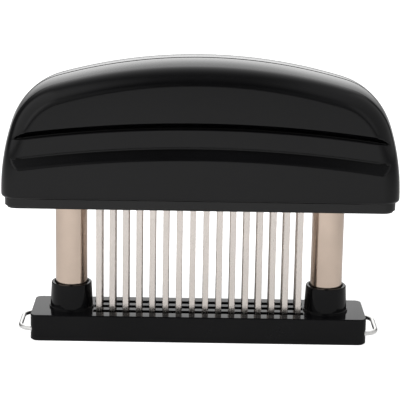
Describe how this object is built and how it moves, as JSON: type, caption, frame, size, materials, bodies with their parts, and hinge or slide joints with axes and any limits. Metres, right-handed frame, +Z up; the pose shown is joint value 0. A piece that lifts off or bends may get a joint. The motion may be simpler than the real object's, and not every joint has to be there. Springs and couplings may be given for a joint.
{
  "type": "blade meat tenderizer",
  "caption": "Hand blade meat tenderizer: a domed grip slides down two sprung steel tubes and pushes three rows of blades through slots in a flat base bar.",
  "frame": {"origin": "middle of the base bar's underside, where the tool stands", "axes": "+Z up along the tubes, +X along the base bar, front face towards -Y"},
  "size_m": [0.1476, 0.04, 0.1061],
  "materials": {
    "grip_plastic": "satin black moulded plastic",
    "base_plastic": "glossy black moulded plastic",
    "tube_steel": "drawn stainless tube",
    "blade_steel": "stamped stainless strip",
    "clip_wire": "bright spring wire",
    "spring_steel": "zinc plated steel",
    "screw_steel": "plated steel",
    "dark_plastic": "black moulded plastic",
    "bush_plastic": "natural acetal"
  },
  "bodies": {
    "base": {"base_bar": "base_plastic", "left_tube": "tube_steel", "right_tube": "tube_steel", "left_tube_plug": "dark_plastic", "right_tube_plug": "dark_plastic", "left_stop_ring": "spring_steel", "right_stop_ring": "spring_steel", "left_spring": "spring_steel", "right_spring": "spring_steel"},
    "grip": {"grip_front_shell": "grip_plastic", "grip_rear_shell": "grip_plastic", "grip_bottom_plate": "grip_plastic", "blade_carrier": "dark_plastic", "blade_clamp_plate": "blade_steel", "front_blades": "blade_steel", "middle_blades": "blade_steel", "rear_blades": "blade_steel", "left_guide_bush": "bush_plastic", "right_guide_bush": "bush_plastic", "left_spring_cap": "dark_plastic", "right_spring_cap": "dark_plastic", "crest_dowels": "spring_steel", "clamp_screws": "screw_steel", "carrier_screws": "screw_steel", "shell_screws": "screw_steel"},
    "left_clip": {"left_wire_clip": "clip_wire"},
    "right_clip": {"right_wire_clip": "clip_wire"}
  },
  "joints": [
    {"name": "press", "type": "slide", "parent": "base", "child": "grip", "axis": [0, 0, -1], "range_m": [0, 0.031], "stiffness_N_per_m": 700, "springref_m": -0.012, "deforming": ["left_spring", "right_spring"]},
    {"name": "left_clip_pull", "type": "slide", "parent": "base", "child": "left_clip", "axis": [-1, 0, 0], "range_m": [0, 0.016]},
    {"name": "right_clip_pull", "type": "slide", "parent": "base", "child": "right_clip", "axis": [1, 0, 0], "range_m": [0, 0.016]}
  ]
}
